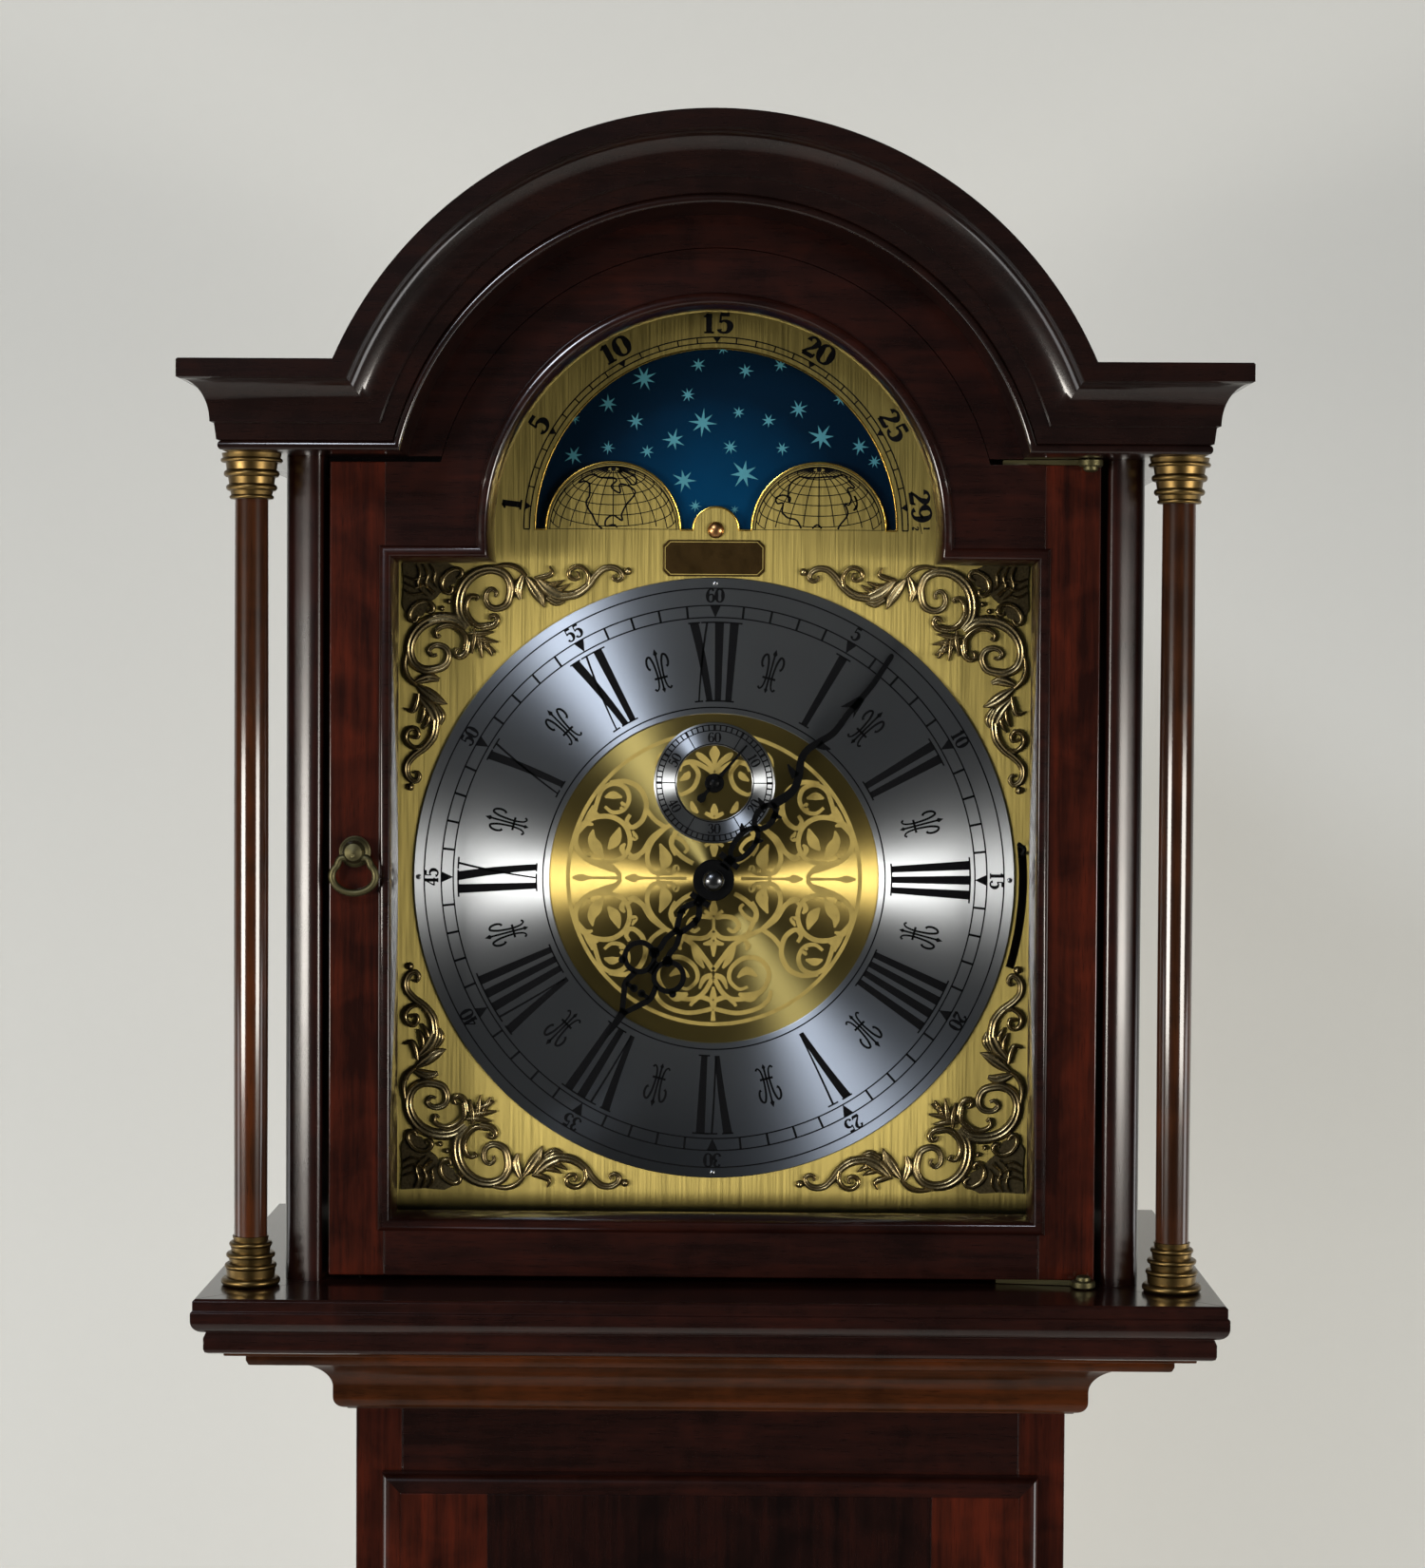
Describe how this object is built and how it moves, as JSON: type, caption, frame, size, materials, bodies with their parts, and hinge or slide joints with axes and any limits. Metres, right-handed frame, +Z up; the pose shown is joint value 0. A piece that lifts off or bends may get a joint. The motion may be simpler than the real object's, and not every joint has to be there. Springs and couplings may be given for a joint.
{
  "type": "grandmother clock",
  "caption": "Tall mahogany grandmother clock with a sliding break-arch hood, glazed door, brass moon dial, chain-wound weights and a swinging pendulum.",
  "frame": {"origin": "on the floor, under the middle of the clock's width and depth", "axes": "+Z up, -Y towards the viewer in front of the dial, +X to the viewer's right"},
  "size_m": [0.4368, 0.255, 1.776],
  "materials": {
    "mahogany": "French-polished red-brown mahogany",
    "brass": "brushed and lacquered brass",
    "old_brass": "cast brass, toned dark in the hollows",
    "silvered": "spun and silvered brass ring",
    "black_steel": "black-lacquered pierced steel",
    "steel": "plain drawn steel",
    "glass": "clear flat glass",
    "night_blue": "blue lacquer with stars"
  },
  "bodies": {
    "case": {"backboard": "mahogany", "base_side_left": "mahogany", "base_side_right": "mahogany", "base_front": "mahogany", "plinth_moulding": "mahogany", "waist_moulding": "mahogany", "trunk_side_left": "mahogany", "trunk_side_right": "mahogany", "trunk_front_frame": "mahogany", "throat_moulding": "mahogany", "seat_board": "mahogany", "dial_plate": "brass", "chapter_ring": "silvered", "spandrel_top_left": "old_brass", "spandrel_top_right": "old_brass", "spandrel_bottom_left": "old_brass", "spandrel_bottom_right": "old_brass", "movement_front_plate": "brass", "movement_back_plate": "brass", "chime_rods": "steel", "chain_left": "steel", "chain_middle": "steel", "chain_right": "steel"},
    "hood": {"hood_base_frame": "mahogany", "hood_side_left": "mahogany", "hood_side_right": "mahogany", "hood_cornice": "mahogany", "hood_roof": "mahogany", "hood_front_board": "mahogany", "column_shaft_left": "mahogany", "column_shaft_right": "mahogany", "column_capital_left": "old_brass", "column_capital_right": "old_brass", "column_base_left": "old_brass", "column_base_right": "old_brass"},
    "hood_door": {"hood_door_frame": "mahogany", "hood_door_glass": "glass", "hood_door_hinge_bottom": "old_brass", "hood_door_hinge_top": "old_brass", "hood_door_pull_boss": "old_brass"},
    "hood_door_pull": {"hood_door_pull_bail": "old_brass"},
    "trunk_door": {"trunk_door": "mahogany", "trunk_door_knob": "old_brass"},
    "minute_hand": {"minute_hand": "black_steel"},
    "hour_hand": {"hour_hand": "black_steel"},
    "escape": {"escape_wheel": "brass", "seconds_hand": "black_steel"},
    "third": {"third_wheel": "brass"},
    "centre": {"centre_wheel": "brass"},
    "moon": {"moon_disc": "night_blue"},
    "chime_lever": {"chime_lever": "black_steel"},
    "pendulum": {"pendulum_rod": "mahogany", "pendulum_bob": "brass"},
    "anchor": {"anchor_and_crutch": "steel"},
    "weight_left": {"weight_left": "brass"},
    "chain_wheel_left": {"chain_wheel_left": "brass"},
    "weight_middle": {"weight_middle": "brass"},
    "chain_wheel_middle": {"chain_wheel_middle": "brass"},
    "weight_right": {"weight_right": "brass"},
    "chain_wheel_right": {"chain_wheel_right": "brass"}
  },
  "joints": [
    {"name": "hood_slide", "type": "slide", "parent": "case", "child": "hood", "axis": [0, -1, 0], "range_m": [0, 0.26]},
    {"name": "hood_door_swing", "type": "hinge", "parent": "hood", "child": "hood_door", "pos_m": [0.157, -0.08195, 1.464], "axis": [0, 0, 1], "range_deg": [0, 110]},
    {"name": "hood_door_pull_lift", "type": "hinge", "parent": "hood_door", "child": "hood_door_pull", "pos_m": [-0.151, -0.08195, 1.4708], "axis": [-1, 0, 0], "range_deg": [0, 100]},
    {"name": "trunk_door_swing", "type": "hinge", "parent": "case", "child": "trunk_door", "pos_m": [0.1415, -0.06295, 0.853], "axis": [0, 0, 1], "range_deg": [0, 105]},
    {"name": "minute_hand_turn", "type": "hinge", "parent": "case", "child": "minute_hand", "pos_m": [0, -0.04795, 1.459], "axis": [0, 1, 0], "continuous": true},
    {"name": "hour_hand_turn", "type": "hinge", "parent": "case", "child": "hour_hand", "pos_m": [0, -0.04395, 1.459], "axis": [0, 1, 0], "continuous": true},
    {"name": "escape_turn", "type": "hinge", "parent": "case", "child": "escape", "pos_m": [0, 0.01845, 1.5005], "axis": [0, 1, 0], "continuous": true},
    {"name": "third_turn", "type": "hinge", "parent": "case", "child": "third", "pos_m": [0.01892, 0.01645, 1.48084], "axis": [0, 1, 0], "continuous": true},
    {"name": "centre_turn", "type": "hinge", "parent": "case", "child": "centre", "pos_m": [0, 0.02845, 1.459], "axis": [0, 1, 0], "continuous": true},
    {"name": "moon_turn", "type": "hinge", "parent": "case", "child": "moon", "pos_m": [0, -0.03095, 1.61], "axis": [0, 1, 0], "continuous": true},
    {"name": "chime_lever_turn", "type": "hinge", "parent": "case", "child": "chime_lever", "pos_m": [0, -0.02775, 1.459], "axis": [0, 1, 0], "range_deg": [0, 20]},
    {"name": "pendulum_swing", "type": "hinge", "parent": "case", "child": "pendulum", "pos_m": [0, 0.06945, 1.5345], "axis": [0, 1, 0], "range_deg": [-3, 3]},
    {"name": "anchor_rock", "type": "hinge", "parent": "case", "child": "anchor", "pos_m": [0, 0.02745, 1.5345], "axis": [0, 1, 0], "range_deg": [-3, 3]},
    {"name": "weight_left_wind", "type": "slide", "parent": "case", "child": "weight_left", "axis": [0, 0, 1], "range_m": [0, 0.6], "deforming": ["chain_left"]},
    {"name": "chain_wheel_left_turn", "type": "hinge", "parent": "case", "child": "chain_wheel_left", "pos_m": [-0.062, 0.01645, 1.385], "axis": [0, 1, 0], "continuous": true},
    {"name": "weight_middle_wind", "type": "slide", "parent": "case", "child": "weight_middle", "axis": [0, 0, 1], "range_m": [0, 0.6], "deforming": ["chain_middle"]},
    {"name": "chain_wheel_middle_turn", "type": "hinge", "parent": "case", "child": "chain_wheel_middle", "pos_m": [0, 0.01645, 1.385], "axis": [0, 1, 0], "continuous": true},
    {"name": "weight_right_wind", "type": "slide", "parent": "case", "child": "weight_right", "axis": [0, 0, 1], "range_m": [0, 0.6], "deforming": ["chain_right"]},
    {"name": "chain_wheel_right_turn", "type": "hinge", "parent": "case", "child": "chain_wheel_right", "pos_m": [0.062, 0.01645, 1.385], "axis": [0, 1, 0], "continuous": true}
  ],
  "couplings": [
    {"joint": "hour_hand_turn", "follows": "minute_hand_turn", "ratio": 0.083333},
    {"joint": "third_turn", "follows": "centre_turn", "ratio": -8},
    {"joint": "escape_turn", "follows": "centre_turn", "ratio": 60},
    {"joint": "anchor_rock", "follows": "pendulum_swing", "ratio": 1},
    {"joint": "chain_wheel_left_turn", "follows": "weight_left_wind", "rad_per_m": 71.429},
    {"joint": "chain_wheel_middle_turn", "follows": "weight_middle_wind", "rad_per_m": 71.429},
    {"joint": "chain_wheel_right_turn", "follows": "weight_right_wind", "rad_per_m": 71.429}
  ]
}
